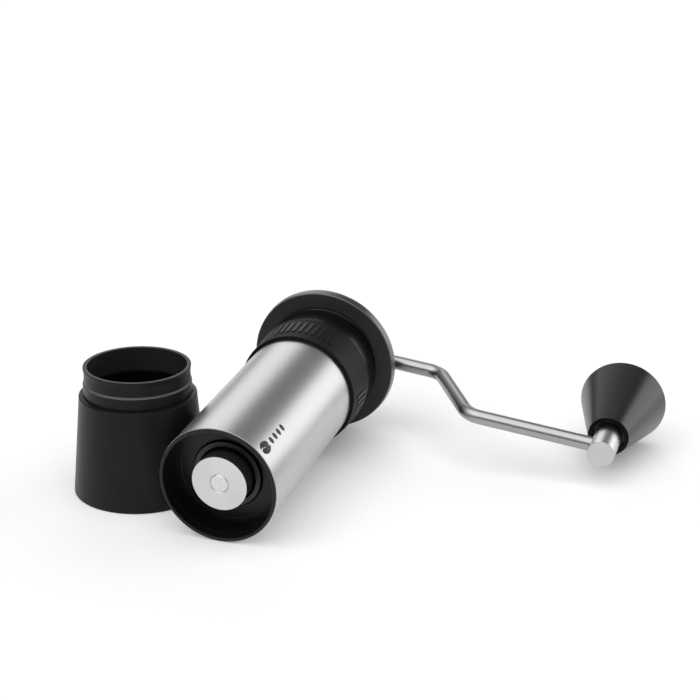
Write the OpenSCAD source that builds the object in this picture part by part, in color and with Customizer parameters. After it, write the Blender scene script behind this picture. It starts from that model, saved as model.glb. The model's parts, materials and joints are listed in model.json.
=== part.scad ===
// Hand crank coffee grinder, lying on its side with its catch cup standing beside it.
//
// Sizes are in millimetres. The floor is z = 0, and the origin is below the middle of
// the whole arrangement. Every piece of the grinder is drawn upright on the tube's axis:
// height 0 is the open mouth that the cup pushes into, and height grows towards the
// crank. lay_down() then tips it over, until the edge of the mouth and the wide rim rest
// on the floor. on_crank() does the same with the crank's own turn, which lets the
// knob rest on the floor too.

/* [Tube] */
// Outside radius of the steel tube
tube_r = 30; // [26:0.5:36]
// Wall thickness of the tube
tube_wall = 1.2; // [0.8:0.1:2]
// Height of the tube's top end above the mouth
tube_top = 147; // [120:1:180]
// Bevel on the tube's two ends
tube_edge = 0.3; // [0.1:0.1:0.6]
// Height of the plastic lip that covers the tube's bottom end
lip_h = 1.2; // [0.8:0.1:2]
// Depth of the mouth, down to the floor that carries the outer burr
mouth_depth = 14.2; // [12:0.2:18]
// Depth of the slightly wider start of the mouth, which leads the cup's neck in
lead_depth = 2.4; // [1.6:0.1:2.6]
// Wall thickness of the plastic sleeve in the mouth
sleeve_wall = 1.05; // [0.8:0.05:2]

/* [Rim and funnel] */
// How far the wide rim stands out from the tube
rim_overhang = 10.2; // [6:0.2:14]
// Height of the rim's flat underside above the tube's top end
rim_rise = 4.1; // [3:0.1:6]
// Thickness of the rim from its underside to its top
rim_h = 6.9; // [5:0.1:10]
// Wall of the collar that holds the tube's top end
collar_wall = 0.95; // [0.8:0.05:2]
// Depth of the seat that the lid lies in
lid_seat = 2.5; // [2:0.1:4]
// Width of the rim's top around the lid
rim_w = 2.3; // [1.5:0.1:4]

/* [Thumb ring] */
// Height of the rubber ring's lower edge
ring_low = 110.8; // [90:0.5:120]
// Height of the rubber ring itself
ring_h = 23.9; // [16:0.5:26]
// Thickness of the ring at its lower edge
ring_t = 1.7; // [1.2:0.1:3]
// How much further out the ring is at its upper edge
ring_flare = 0.7; // [0:0.1:1.5]
// Number of groups of raised grip bars around the ring
grip_groups = 3; // [2:1:4]
// Number of raised grip bars in each group
grip_bars = 10; // [4:1:12]

/* [Burrs] */
// Largest radius of the inner burr, at the outlet
burr_r = 14.1; // [11:0.1:15.5]
// Height of the inner burr's end face above the mouth's edge
burr_inset = 2.85; // [2.2:0.05:5]
// Height of the inner burr
burr_h = 42.1; // [34:0.5:43]
// Radius of the inner burr's narrow top
burr_tip_r = 6.6; // [6:0.1:8]
// Gap between the burrs when the dial is fully closed
burr_gap = 0.3; // [0.25:0.05:0.6]
// Thickness of the outer burr's ring around the outlet
burr_nose_w = 2.8; // [2:0.1:4]
// Number of bean breaking grooves on the inner burr
breakers = 6; // [3:1:9]

/* [Bearings and axle] */
// Bore radius of a bearing
bearing_bore_r = 4; // [3:0.5:5]
// Outside radius of a bearing
bearing_r = 11; // [9:0.5:13]
// Width of a bearing
bearing_w = 7; // [5:0.5:9]
// Number of balls in a bearing
balls = 7; // [6:1:9]
// Radius of the axle's end in the inner burr
axle_end_r = 4.59; // [4.3:0.05:6]
// Height of the lower bridge's underside
lower_bridge_z = 50; // [48:0.5:70]
// Height of a bridge's outer ring
bridge_h = 8; // [6:0.5:10]
// Number of arms on a bridge
bridge_arms = 3; // [3:1:5]

/* [Dial and lid] */
// Radius of the setting dial
dial_r = 19; // [15:0.5:24]
// Thickness of the setting dial
dial_h = 6.2; // [4:0.1:8]
// Number of finger notches around the dial
dial_notches = 20; // [12:1:30]
// Travel of the burr from fully closed to fully open
burr_travel = 1.75; // [1:0.25:2]
// Thickness of the lid
lid_h = 2.2; // [1.6:0.1:2.4]

/* [Crank] */
// Distance from the tube's axis to the knob's axis
crank_r = 162.3; // [130:0.5:190]
// Radius of the arm's round rod
rod_r = 3.35; // [2.5:0.05:4]
// Distance from the axis to the middle of the upper bend
upper_bend = 62.4; // [50:0.5:80]
// Distance from the axis to the middle of the lower bend
lower_bend = 89.2; // [78:0.5:110]
// How far the arm steps down between its bends
arm_drop = 38.8; // [20:0.5:45]
// Radius of the bends, measured to the rod's middle
bend_r = 12; // [8:0.5:16]
// Radius of the crank's hub
hub_r = 9; // [7.5:0.5:12]
// Height of the crank's hub
hub_h = 9.6; // [9:0.1:13]

/* [Knob] */
// Radius of the knob's small end
knob_small_r = 10.75; // [10.5:0.25:14]
// Radius of the knob's large end
knob_r = 23.2; // [17:0.2:27]
// Length of the knob
knob_h = 46.1; // [40:0.5:60]
// Rounding of the knob's large end
knob_round = 2; // [1:0.5:4]
// Radius of the steel boss at the arm's end
boss_r = 7.08; // [6:0.02:8]
// How far the boss stands out below the knob
boss_out = 21.2; // [15:0.1:25]
// Radius of the pin that the knob turns on
pin_r = 3; // [2:0.1:4]

/* [Cup] */
// Height of the catch cup
cup_h = 67; // [50:1:80]
// Radius of the cup at its base
cup_base_r = 34.3; // [31:0.1:42]
// Thickness of the cup's wall and base
cup_wall = 2.4; // [1.6:0.1:4]
// Free gap between the standing cup and the tube
cup_gap = 1; // [0.5:0.5:30]
// Distance of the cup's axis from the mouth, along the floor
cup_back = 47.9; // [36:0.1:70]

/* [Clearances] */
// Radial gap where one piece turns or slides inside another
running_gap = 0.05; // [0.02:0.01:0.08]
// Gap between two pieces that are fixed to each other
seat_gap = 0.02; // [0.01:0.01:0.04]
// Gap between pieces that move past each other without guiding
free_gap = 0.4; // [0.3:0.05:0.8]
// Gap between faces that slide over each other
face_gap = 0.1; // [0.05:0.05:0.2]
// Gap between the cup's neck and the mouth
neck_gap = 0.3; // [0.2:0.05:0.5]

/* [Hidden] */
$fn = 96;
steel = [0.72, 0.72, 0.71];
bright = [0.80, 0.80, 0.79];
dark_steel = [0.30, 0.30, 0.31];
black = [0.07, 0.07, 0.075];
soft_black = [0.13, 0.13, 0.135];
brass = [0.72, 0.58, 0.30];
edge = 0.3;

// Mouth and tube
tube_bore_r = tube_r - tube_wall;
fixed_r = tube_bore_r - seat_gap;
lip_r = tube_r - 0.2;
mouth_r = fixed_r - sleeve_wall;
mouth_edge = 0.3;
lead_in = 0.35;
grip_wire_r = 0.5;
grip_z = 4.6;
grip_r = mouth_r + 0.12;

// Outer burr and its carrier
nose_r = burr_r + burr_gap + burr_nose_w;
nose_z = mouth_depth - 1.5;
nose_slot = 1.1;
carrier_lip = 2.3;
flange_r = nose_r + 3.75;
flange_h = 8;
seat_z = mouth_depth + carrier_lip;
flange_top = seat_z + flange_h;
ring_burr_r = nose_r + 2.3;
ring_burr_top = seat_z + 21.5;
throat_z = nose_z + 5.3;
throat_in = 1;
clamp_screw_r = 1.5;
clamp_head_r = 3;
clamp_r = flange_r + 2.25;
clamp_depth = 8.8;
clamp_head_h = 2;
hex_key_r = 1.45;

// Inner burr
burr_top = burr_inset + burr_h;
face_h = 1.35;
skirt_r = burr_r - 0.25;
skirt_top = burr_inset + 8.35;
outlet_z = nose_z - 0.7;
groove_w = 3.2;
groove_l = 25;
groove_twist = 24;

// Disc springs
disc_count = 6;
disc_h = 1;
disc_pitch = 1.03;
disc_t = 0.35;
disc_in_r = axle_end_r + 0.45;
disc_out_r = disc_in_r + 3.3;

// Bearings and bridges
race_pitch_r = (bearing_bore_r + bearing_r) / 2;
ball_r = 1.98;
ball_room = 3;
race_t = (bearing_r - bearing_bore_r - ball_room) / 2;
ball_gap = 0.3;
seal_t = 0.5;
seal_in = 0.15;
bridge_lip = 1.5;
bridge_hub_r = bearing_r + 2.8;
bridge_ring_w = 2;
arm_w = 6;
clip_t = 1;
clip_in_r = bearing_r - 1.4;
clip_groove = 0.5;
clip_slot = 5;
hub_top = bridge_lip + bearing_w + clip_t + 1.1;
upper_bridge_z = tube_top - bridge_h - 0.4;
lower_bearing_z = lower_bridge_z + bridge_lip;
upper_bearing_z = upper_bridge_z + bridge_lip;

// Axle, spacer and washer
axle_r = bearing_bore_r - seat_gap;
race_bore_r = axle_r + running_gap;
axle_step = burr_top + 1;
spacer_bore_r = axle_r + free_gap;
spacer_r = bearing_bore_r + race_t;
washer_z = upper_bearing_z + bearing_w + seat_gap;
washer_h = 1.2;
washer_r = spacer_r + 0.2;

// Rim, lid and dial
rim_r = tube_r + rim_overhang;
collar_in_r = tube_r + seat_gap + 0.03;
collar_r = collar_in_r + collar_wall;
collar_low = ring_low + ring_h + 0.2;
rim_low = tube_top + rim_rise;
rim_top = rim_low + rim_h;
rim_widest = rim_low + 5.4;
rim_bevel = 0.6;
seat_r = rim_r - rim_w;
lid_floor = rim_top - lid_seat;
lid_z = lid_floor + running_gap;
lid_r = seat_r - 0.9;
lid_collar_h = 4.4;
lid_collar_w = 1.7;
seal_wire = 0.4;
lid_in_r = dial_r + 1.3;
dial_hub_r = spacer_r + 0.5;
dial_low = washer_z + washer_h + face_gap;
dial_z = rim_top + 0.4;
dial_top = dial_z + dial_h;
notch_r = 1.6;
tick_w = 0.5;
tick_l = 3;
tick_depth = 0.4;
ticks = 12;

// Crank
hex_r = axle_r - 0.08;
hex_z = dial_top + 0.6;
hub_z = dial_top + burr_travel + 0.6;
hub_roof = 2;
hex_top = hub_z + hub_h - hub_roof - face_gap;
arm_z = hub_z + 3.8;
arm_root = hex_r + 1.1;
low_z = arm_z - arm_drop;
slope = atan(arm_drop / (lower_bend - upper_bend));
slope_l = sqrt(pow(arm_drop, 2) + pow(lower_bend - upper_bend, 2));
bend_cut = bend_r * tan(slope / 2);
rod_lap = 0.5;
set_screw_r = 2;

// Knob
knob_low = low_z + rod_r + 7.45;
knob_top = knob_low + knob_h;
knob_widest = knob_top - knob_round;
boss_low = knob_low - boss_out;
boss_top = knob_low + 4.1;
boss_floor = 2.5;
arm_end = crank_r - pin_r - 1.6;
recess_r = knob_small_r - 2.2;
recess_z = boss_top + 1.6;
bush_r = pin_r + 3;
bush_flange_r = recess_r - 0.25;
bush_l = 8;
bush_flange_h = 1;
core_r = bush_r + 5.2;
core_z = knob_top - 10.4;
cap_h = 2;
cap_r = core_r + 0.8;
cap_z = knob_top - cap_h - 0.2;
pin_top = core_z + 4;
clip_z = core_z + bush_flange_h + seat_gap + face_gap;
e_clip_r = pin_r + 3;
e_clip_t = 0.9;
pin_groove = 0.5;

// Cup
neck_r = mouth_r - neck_gap;
neck_h = mouth_depth - 0.2;
neck_z = cup_h - neck_h;
shoulder_r = lip_r;
shoulder_z = neck_z - 1.6;
shoulder_edge = 0.5;
ledge_z = neck_z + 5.8;
ledge_h = 0.8;
waist_r = neck_r - 0.6;
brim_r = neck_r - 0.25;
brim_in_r = brim_r - 2.15;
base_edge = 0.9;
cup_taper = (cup_base_r - shoulder_r) / shoulder_z;
cup_beside_tube_r = cup_base_r - cup_taper * tube_r;

// How the grinder lies
rest_z = lip_h + tube_edge;
tilt = atan((rim_r - tube_r) / (rim_widest - rest_z));
mouth_up = tube_r * cos(tilt) - rest_z * sin(tilt);
knob_lift = mouth_up + knob_widest * sin(tilt) - knob_r * cos(tilt);
crank_turn = asin(knob_lift / (crank_r * cos(tilt)));

// Middle of the whole arrangement
cup_x = -(tube_r + cup_beside_tube_r + cup_gap);
x_high = crank_r * cos(crank_turn) + knob_r;
x_low = cup_x - cup_base_r;
x_mid = (x_high + x_low) / 2;
knob_reach = crank_r * sin(crank_turn) + knob_r - knob_round;
y_high = knob_top * cos(tilt) + knob_reach * sin(tilt);
y_low = -(lip_r - edge) * sin(tilt);
y_mid = (y_high + y_low) / 2;

// Tips an upright piece of the grinder onto its side
module lay_down() {
  translate([-x_mid, -y_mid, mouth_up])
    rotate([tilt - 90, 0, 0])
      children();
}

// The same, turned with the crank
module on_crank() {
  lay_down()
    rotate([0, 0, crank_turn])
      children();
}

// The same, moved out to the knob's axis
module on_knob() {
  on_crank()
    translate([crank_r, 0, 0])
      children();
}

// A plain ring between two radii and two heights
module ring(inner, outer, low, high) {
  rotate_extrude()
    polygon([[inner, low], [outer, low], [outer, high], [inner, high]]);
}

// A ring whose outer edges are bevelled
module bevelled_ring(inner, outer, low, high, bevel) {
  rotate_extrude()
    polygon([
      [inner, low], [outer - bevel, low], [outer, low + bevel],
      [outer, high - bevel], [outer - bevel, high], [inner, high]
    ]);
}

// Copies its child evenly around the axis
module around(count) {
  for (i = [0 : count - 1])
    rotate([0, 0, i * 360 / count])
      children();
}

// A retaining ring with a slot on one side
module slotted_ring(inner, outer, low, thickness, slot) {
  difference() {
    ring(inner, outer, low, low + thickness);
    translate([0, -slot / 2, low - thickness])
      cube([outer + thickness, slot, 3 * thickness]);
  }
}

// The tube that holds the beans and the two bridges
module body_tube() {
  color(steel)
    lay_down()
      rotate_extrude()
        polygon([
          [tube_bore_r, lip_h], [tube_r - tube_edge, lip_h], [tube_r, lip_h + tube_edge],
          [tube_r, tube_top - tube_edge], [tube_r - tube_edge, tube_top],
          [tube_bore_r, tube_top]
        ]);
}

// Plastic sleeve that lines the mouth and covers the tube's end
module mouth_ring() {
  lead_r = mouth_r + lead_in;
  groove_r = grip_r + grip_wire_r + seat_gap;
  groove_half = grip_wire_r + running_gap;
  color(black)
    lay_down()
      rotate_extrude()
        polygon([
          [lead_r + mouth_edge, 0], [lip_r - edge, 0], [lip_r, edge],
          [lip_r, lip_h - seat_gap], [fixed_r, lip_h - seat_gap],
          [fixed_r, mouth_depth - seat_gap], [mouth_r, mouth_depth - seat_gap],
          [mouth_r, grip_z + groove_half], [groove_r, grip_z + groove_half],
          [groove_r, grip_z - groove_half], [mouth_r, grip_z - groove_half],
          [mouth_r, lead_depth + lead_in], [lead_r, lead_depth],
          [lead_r, mouth_edge]
        ]);
}

// Rubber ring in the sleeve's groove, which grips the cup's neck
module mouth_grip_ring() {
  color(soft_black)
    lay_down()
      translate([0, 0, grip_z])
        rotate_extrude()
          translate([grip_r, 0])
            circle(grip_wire_r);
}

// Floor of the mouth, which holds the outer burr on the axis
module burr_carrier() {
  color(black)
    lay_down()
      difference() {
        rotate_extrude()
          polygon([
            [nose_r + nose_slot, mouth_depth], [fixed_r, mouth_depth],
            [fixed_r, flange_top], [flange_r + seat_gap, flange_top],
            [flange_r + seat_gap, seat_z], [nose_r + nose_slot, seat_z]
          ]);
        around(3)
          translate([clamp_r, 0, flange_top - clamp_depth])
            cylinder(h = 2 * clamp_depth, r = clamp_screw_r + seat_gap);
      }
}

// Steel ring burr. Its throat is narrowest above the outlet
module outer_burr() {
  bore_r = burr_r + burr_gap;
  mid_z = (throat_z + ring_burr_top) / 2;
  color(dark_steel)
    lay_down()
      difference() {
        rotate_extrude()
          polygon([
            [bore_r, nose_z + edge], [bore_r + edge, nose_z], [nose_r, nose_z],
            [nose_r, seat_z + seat_gap], [flange_r, seat_z + seat_gap],
            [flange_r, flange_top], [ring_burr_r, flange_top],
            [ring_burr_r, ring_burr_top], [bore_r + 3, ring_burr_top],
            [bore_r - throat_in, throat_z]
          ]);
        around(breakers)
          translate([bore_r + 1.2, 0, mid_z + 2])
            rotate([groove_twist, 12, 0])
              rotate([0, 0, 45])
                cube([groove_w, groove_w, groove_l - 9], center = true);
      }
}

// Three socket screws that clamp the ring burr's flange
module clamp_screws() {
  color(bright)
    lay_down()
      around(3)
        translate([clamp_r, 0, flange_top + seat_gap])
          difference() {
            union() {
              cylinder(h = clamp_head_h, r = clamp_head_r);
              translate([0, 0, 2 * seat_gap - clamp_depth])
                cylinder(h = clamp_depth, r = clamp_screw_r);
            }
            translate([0, 0, clamp_head_h / 2])
              cylinder(h = clamp_head_h, r = hex_key_r, $fn = 6);
          }
}

// Spider that holds a bearing in the tube. Beans pass between its arms
module bridge(base) {
  lay_down()
    translate([0, 0, base])
      difference() {
        union() {
          ring(fixed_r - bridge_ring_w, fixed_r, 0, bridge_h);
          cylinder(h = hub_top, r = bridge_hub_r);
          around(bridge_arms)
            translate([bearing_r + 1, -arm_w / 2, 0])
              cube([fixed_r - bearing_r - 2, arm_w, bridge_h - 1]);
        }
        translate([0, 0, -bridge_lip])
          cylinder(h = bridge_h, r = clip_in_r);
        translate([0, 0, bridge_lip])
          cylinder(h = hub_top, r = bearing_r);
        translate([0, 0, bridge_lip + bearing_w])
          cylinder(h = clip_t + 2 * seat_gap, r = bearing_r + clip_groove);
      }
}

// Snap ring that keeps a bearing in its bridge
module circlip(base) {
  lay_down()
    slotted_ring(
      clip_in_r, bearing_r + clip_groove - seat_gap,
      base + bridge_lip + bearing_w + seat_gap, clip_t, clip_slot
    );
}

// Outer race of a bearing, with its ball groove
module outer_race(low) {
  lay_down()
    translate([0, 0, low])
      difference() {
        ring(bearing_r - race_t, bearing_r - seat_gap, 0, bearing_w);
        translate([0, 0, bearing_w / 2])
          rotate_extrude()
            translate([race_pitch_r, 0])
              circle(ball_r + running_gap);
      }
}

// Inner race of a bearing, with its ball groove
module inner_race(low) {
  lay_down()
    translate([0, 0, low])
      difference() {
        ring(race_bore_r, spacer_r, 0, bearing_w);
        translate([0, 0, bearing_w / 2])
          rotate_extrude()
            translate([race_pitch_r, 0])
              circle(ball_r + ball_gap);
      }
}

// The balls of a bearing
module ball_set(low) {
  lay_down()
    around(balls)
      translate([race_pitch_r, 0, low + bearing_w / 2])
        sphere(ball_r);
}

// The two dust seals of a bearing
module seal_pair(low) {
  lay_down()
    for (z = [low + seal_in, low + bearing_w - seal_in - seal_t])
      ring(spacer_r + free_gap, bearing_r - race_t - seat_gap, z, z + seal_t);
}

module lower_bridge() {
  color(black)
    bridge(lower_bridge_z);
}

module lower_outer_race() {
  color(bright)
    outer_race(lower_bearing_z);
}

module lower_balls() {
  color(bright)
    ball_set(lower_bearing_z);
}

module lower_seals() {
  color(soft_black)
    seal_pair(lower_bearing_z);
}

module lower_circlip() {
  color(dark_steel)
    circlip(lower_bridge_z);
}

module upper_bridge() {
  color(black)
    bridge(upper_bridge_z);
}

module upper_outer_race() {
  color(bright)
    outer_race(upper_bearing_z);
}

module upper_balls() {
  color(bright)
    ball_set(upper_bearing_z);
}

module upper_seals() {
  color(soft_black)
    seal_pair(upper_bearing_z);
}

module upper_circlip() {
  color(dark_steel)
    circlip(upper_bridge_z);
}

// Rubber ring around the tube, with two groups of raised grip bars
module thumb_ring() {
  low_r = tube_r + ring_t;
  high_r = low_r + ring_flare;
  top = ring_low + ring_h;
  soft = 1.2;
  bar_w = 2;
  bar_h = ring_h * 0.52;
  bar_step = 6.4;
  bar_out = 0.4;
  bar_r = low_r + ring_flare / 2 + bar_out;
  first_group = -87;
  color(soft_black)
    lay_down() {
      rotate_extrude()
        polygon([
          [collar_in_r, ring_low], [low_r - edge, ring_low], [low_r, ring_low + edge],
          [high_r, top - soft], [high_r - 0.4 * soft, top - 0.3 * soft],
          [high_r - soft, top], [collar_in_r, top]
        ]);
      for (group = [0 : grip_groups - 1])
        for (i = [0 : grip_bars - 1])
          rotate([
            0, 0, first_group + group * 360 / grip_groups + (i - (grip_bars - 1) / 2) * bar_step
          ])
            translate([tube_r + ring_t / 2, -bar_w / 2, ring_low + (ring_h - bar_h) / 2])
              cube([bar_r - tube_r - ring_t / 2, bar_w, bar_h]);
    }
}

// Collar, wide rim and the funnel that leads the beans into the tube
module funnel_rim() {
  spout_r = tube_bore_r - 0.2;
  knee_r = collar_r - 1.3;
  color(black)
    lay_down()
      rotate_extrude()
        polygon([
          [collar_in_r, collar_low], [collar_r, collar_low], [collar_r, rim_low],
          [rim_r - rim_bevel, rim_low + 0.7], [rim_r, rim_widest],
          [rim_r - edge, rim_top], [seat_r, rim_top], [seat_r, lid_floor],
          [seat_r - rim_h / 4, lid_floor], [knee_r, rim_low + collar_wall],
          [spout_r, tube_top + seat_gap],
          [collar_in_r, tube_top + seat_gap]
        ]);
}

module lower_inner_race() {
  color(bright)
    inner_race(lower_bearing_z);
}

module upper_inner_race() {
  color(bright)
    inner_race(upper_bearing_z);
}

// Sleeve between the two inner races, which keeps the beans off the axle
module axle_spacer() {
  color(steel)
    lay_down()
      ring(
        spacer_bore_r, spacer_r,
        lower_bearing_z + bearing_w + seat_gap, upper_bearing_z - seat_gap
      );
}

// Washer under the dial, turning with the axle
module dial_washer() {
  color(brass)
    lay_down()
      ring(spacer_bore_r, washer_r, washer_z, washer_z + washer_h);
}

// Axle: thick in the burr, round through the bearings, hexagonal in the crank
module axle() {
  color(bright)
    lay_down() {
      rotate_extrude()
        polygon([
          [0, burr_inset], [axle_end_r - edge, burr_inset], [axle_end_r, burr_inset + edge],
          [axle_end_r, axle_step], [axle_r, axle_step], [axle_r, hex_z], [0, hex_z]
        ]);
      translate([0, 0, hex_z - 1])
        cylinder(h = hex_top - hex_z + 1, r = hex_r, $fn = 6);
    }
}

// Steel cone burr, with slanting grooves that break the beans
module inner_burr() {
  seat_r = axle_end_r + seat_gap;
  throat_r = burr_r - throat_in;
  mid_z = (throat_z + burr_top) / 2;
  cone = atan((throat_r - burr_tip_r) / (burr_top - throat_z));
  color(dark_steel)
    lay_down()
      difference() {
        rotate_extrude()
          polygon([
            [seat_r, burr_inset], [burr_r - 0.2, burr_inset], [burr_r, burr_inset + 0.2],
            [burr_r, burr_inset + face_h], [skirt_r, burr_inset + face_h + 0.2],
            [skirt_r, skirt_top], [burr_r, outlet_z], [throat_r, throat_z],
            [burr_tip_r, burr_top - 1], [burr_tip_r, burr_top], [seat_r, burr_top]
          ]);
        around(breakers)
          translate([(throat_r + burr_tip_r) / 2 + 1.1, 0, mid_z])
            rotate([-groove_twist, -cone, 0])
              rotate([0, 0, 45])
                cube([groove_w, groove_w, groove_l], center = true);
      }
}

// Stack of coned disc springs that presses the inner burr away from the bearing
module burr_springs() {
  rise = disc_h - disc_t;
  color(steel)
    lay_down()
      for (i = [0 : disc_count - 1])
        translate([0, 0, burr_top + running_gap + i * disc_pitch])
          rotate_extrude()
            polygon([
              [disc_in_r, rise * (i % 2)], [disc_out_r, rise * (1 - i % 2)],
              [disc_out_r, rise * (1 - i % 2) + disc_t], [disc_in_r, rise * (i % 2) + disc_t]
            ]);
}

// Setting dial. It screws along the axle and bears on the washer
module setting_dial() {
  color(black)
    lay_down()
      difference() {
        rotate_extrude()
          polygon([
            [race_bore_r, dial_low], [dial_hub_r, dial_low], [dial_hub_r, dial_z],
            [dial_r - edge, dial_z], [dial_r, dial_z + edge], [dial_r, dial_top - 2 * edge],
            [dial_r - 2 * edge, dial_top], [race_bore_r, dial_top]
          ]);
        around(dial_notches)
          translate([dial_r + notch_r / 2, 0, dial_z - notch_r])
            cylinder(h = 2 * dial_h, r = notch_r, $fn = 24);
        around(ticks)
          translate([dial_r - tick_l - 2 * notch_r, -tick_w / 2, dial_top - tick_depth])
            cube([tick_l, tick_w, 2 * tick_depth]);
      }
}

// Ring shaped lid over the funnel, with a collar around the dial
module lid() {
  low = lid_z;
  top = lid_z + lid_h;
  mid = lid_z + lid_h / 2;
  color(black)
    lay_down()
      rotate_extrude()
        polygon([
          [lid_in_r, low], [lid_r, low], [lid_r, mid - seal_wire],
          [lid_r - seal_wire, mid - seal_wire], [lid_r - seal_wire, mid + seal_wire],
          [lid_r, mid + seal_wire], [lid_r - edge, top],
          [lid_in_r + lid_collar_w + edge, top], [lid_in_r + lid_collar_w, top + edge],
          [lid_in_r + lid_collar_w, low + lid_collar_h], [lid_in_r, low + lid_collar_h]
        ]);
}

// Soft ring in the lid's edge
module lid_seal() {
  mid = lid_z + lid_h / 2;
  color(soft_black)
    lay_down()
      ring(
        lid_r - seal_wire + seat_gap, lid_r + seal_wire,
        mid - seal_wire + seat_gap, mid + seal_wire - seat_gap
      );
}

// Hub that pushes onto the axle's hexagon
module crank_hub() {
  color(steel)
    on_crank()
      difference() {
        bevelled_ring(0, hub_r, hub_z, hub_z + hub_h, 2 * edge);
        rotate([0, 0, -crank_turn])
          translate([0, 0, hub_z - hub_h])
            cylinder(h = 2 * hub_h - hub_roof, r = hex_r + running_gap, $fn = 6);
        translate([arm_root - seat_gap, 0, arm_z])
          rotate([0, 90, 0])
            cylinder(h = hub_r, r = rod_r + seat_gap);
        translate([0, 0, arm_z])
          rotate([0, -90, 0])
            cylinder(h = 2 * hub_r, r = set_screw_r + seat_gap);
      }
}

// Round rod bent down twice, from the hub to the boss under the knob
module crank_arm() {
  color(steel)
    on_crank() {
      rod(arm_root + rod_lap, arm_z, 0, upper_bend - bend_cut - arm_root - rod_lap);
      elbow(upper_bend - bend_cut, arm_z - bend_r, 90 - slope);
      rod(
        upper_bend + bend_cut * cos(slope), arm_z - bend_cut * sin(slope),
        slope, slope_l - 2 * bend_cut
      );
      elbow(lower_bend + bend_cut, low_z + bend_r, 270 - slope);
      rod(lower_bend + bend_cut, low_z, 0, arm_end - lower_bend - bend_cut - rod_lap);
    }
}

// Straight length of the arm's rod, starting at a radius and height and sloping down.
// It runs a little into the bend at each end
module rod(from_r, from_z, down, length) {
  translate([from_r, 0, from_z])
    rotate([0, 90 + down, 0])
      translate([0, 0, -rod_lap])
        cylinder(h = length + 2 * rod_lap, r = rod_r);
}

// Bend of the arm's rod around a centre, starting at an angle from outwards. It is a
// hair thicker than the straight lengths
module elbow(centre_r, centre_z, start) {
  translate([centre_r, 0, centre_z])
    rotate([90, 0, 0])
      rotate([0, 0, start])
        rotate_extrude(angle = slope)
          translate([bend_r, 0])
            circle(rod_r + seat_gap);
}

// Steel boss at the arm's end. It reaches up into the knob
module arm_boss() {
  color(steel)
    on_knob()
      difference() {
        rotate_extrude()
          polygon([
            [0, boss_low], [boss_r - edge, boss_low], [boss_r, boss_low + edge],
            [boss_r, boss_top - edge], [boss_r - edge, boss_top],
            [pin_r + seat_gap, boss_top], [pin_r + seat_gap, boss_low + boss_floor],
            [0, boss_low + boss_floor]
          ]);
        translate([arm_end - crank_r + seat_gap, 0, low_z])
          rotate([0, -90, 0])
            cylinder(h = 2 * boss_r, r = rod_r + seat_gap);
      }
}

// Grub screw that bears on the axle's hexagon
module hub_screw() {
  color(dark_steel)
    on_crank()
      translate([-hub_r + edge, 0, arm_z])
        rotate([0, 90, 0])
          difference() {
            cylinder(h = hub_r - edge - hex_r - free_gap, r = set_screw_r);
            translate([0, 0, -set_screw_r])
              cylinder(h = 2 * set_screw_r, r = set_screw_r / 2, $fn = 6);
          }
}

// Pin that the knob turns on, fixed in the boss
module knob_pin() {
  color(bright)
    on_knob()
      rotate_extrude()
        polygon([
          [0, boss_low + boss_floor + seat_gap], [pin_r, boss_low + boss_floor + seat_gap],
          [pin_r, clip_z], [pin_r - pin_groove, clip_z],
          [pin_r - pin_groove, clip_z + e_clip_t + 2 * seat_gap],
          [pin_r, clip_z + e_clip_t + 2 * seat_gap], [pin_r, pin_top - edge],
          [pin_r - edge, pin_top], [0, pin_top]
        ]);
}

// Washer between the boss and the knob's lower bush
module knob_washer() {
  color(bright)
    on_knob()
      ring(pin_r + seat_gap, boss_r - edge, boss_top + seat_gap, boss_top + free_gap);
}

// Clip that keeps the knob on its pin
module knob_clip() {
  color(dark_steel)
    on_knob()
      slotted_ring(
        pin_r - pin_groove + seat_gap, e_clip_r, clip_z + seat_gap, e_clip_t, pin_r
      );
}

// Tapered knob, open at its small end and closed with a cap at its large end
module knob_shell() {
  color(black)
    on_knob()
      rotate_extrude()
        polygon(concat(
          [
            [recess_r, knob_low + edge], [recess_r + edge, knob_low],
            [knob_small_r - edge, knob_low], [knob_small_r, knob_low + edge]
          ],
          [
            for (a = [0 : 15 : 90])
              [knob_r - knob_round * (1 - cos(a)), knob_widest + knob_round * sin(a)]
          ],
          [
            [cap_r + seat_gap, knob_top], [cap_r + seat_gap, cap_z - seat_gap],
            [core_r, cap_z - seat_gap], [core_r, core_z], [bush_r, core_z],
            [bush_r, recess_z], [recess_r, recess_z]
          ]
        ));
}

// Flanged bush in the recess at the knob's small end
module knob_lower_bush() {
  top = recess_z - seat_gap;
  color(soft_black)
    on_knob() {
      ring(pin_r + running_gap, bush_flange_r, top - bush_flange_h, top);
      ring(pin_r + running_gap, bush_r - seat_gap, top - bush_flange_h, top + bush_l);
    }
}

// Flanged bush under the clip
module knob_upper_bush() {
  low = core_z + seat_gap;
  color(soft_black)
    on_knob() {
      ring(pin_r + running_gap, bush_flange_r, low, low + bush_flange_h);
      ring(pin_r + running_gap, bush_r - seat_gap, low - bush_l, low + bush_flange_h);
    }
}

// Disc that closes the knob's large end
module knob_cap() {
  color(black)
    on_knob()
      bevelled_ring(0, cap_r, cap_z, cap_z + cap_h, edge);
}

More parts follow.
